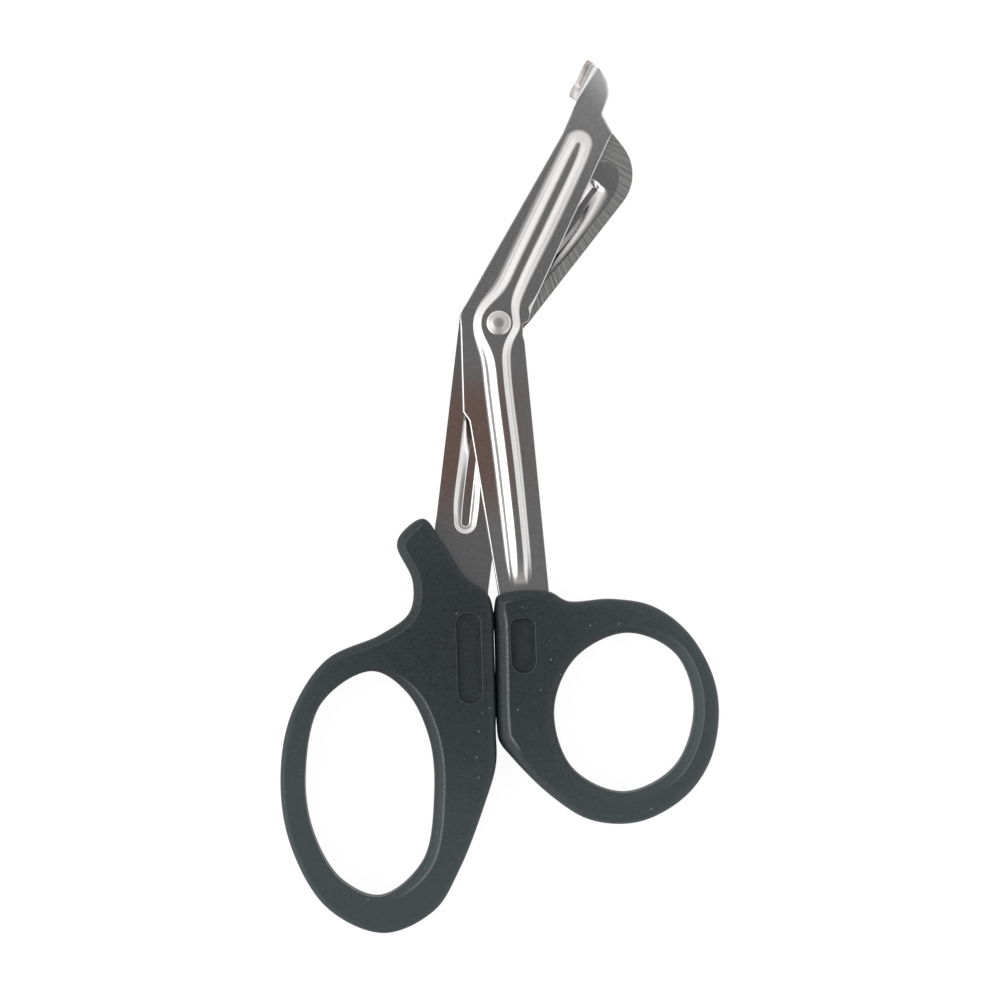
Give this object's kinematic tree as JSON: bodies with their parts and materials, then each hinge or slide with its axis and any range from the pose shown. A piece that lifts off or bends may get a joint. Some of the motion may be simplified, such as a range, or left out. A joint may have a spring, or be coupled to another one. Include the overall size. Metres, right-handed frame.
{
  "type": "utility scissors",
  "caption": "Closed utility scissors with angled ribbed steel blades, a blunt folded shoe on the front blade, a riveted pivot and moulded loop handles.",
  "frame": {"origin": "on the pivot's axis, at the flat foot of the rivet's tail, in the plane that the scissors lie on", "axes": "+Y from the pivot to the tips, +Z through the pivot towards the front blade and the viewer, +X to the thumb handle's side"},
  "size_m": [0.0701, 0.1395, 0.0069],
  "materials": {
    "stainless_steel": "satin stamped stainless sheet",
    "bright_rivet_steel": "polished stainless rivet",
    "black_nylon": "fine matte moulded grain"
  },
  "bodies": {
    "finger_half": {"finger_blade": "stainless_steel", "finger_handle": "black_nylon", "pivot_rivet": "bright_rivet_steel", "pivot_washer": "bright_rivet_steel"},
    "thumb_half": {"thumb_blade": "stainless_steel", "thumb_handle": "black_nylon"}
  },
  "joints": [
    {"name": "pivot", "type": "hinge", "parent": "finger_half", "child": "thumb_half", "pos_m": [0, 0, 0], "axis": [0, 0, 1], "range_deg": [0, 165]}
  ]
}
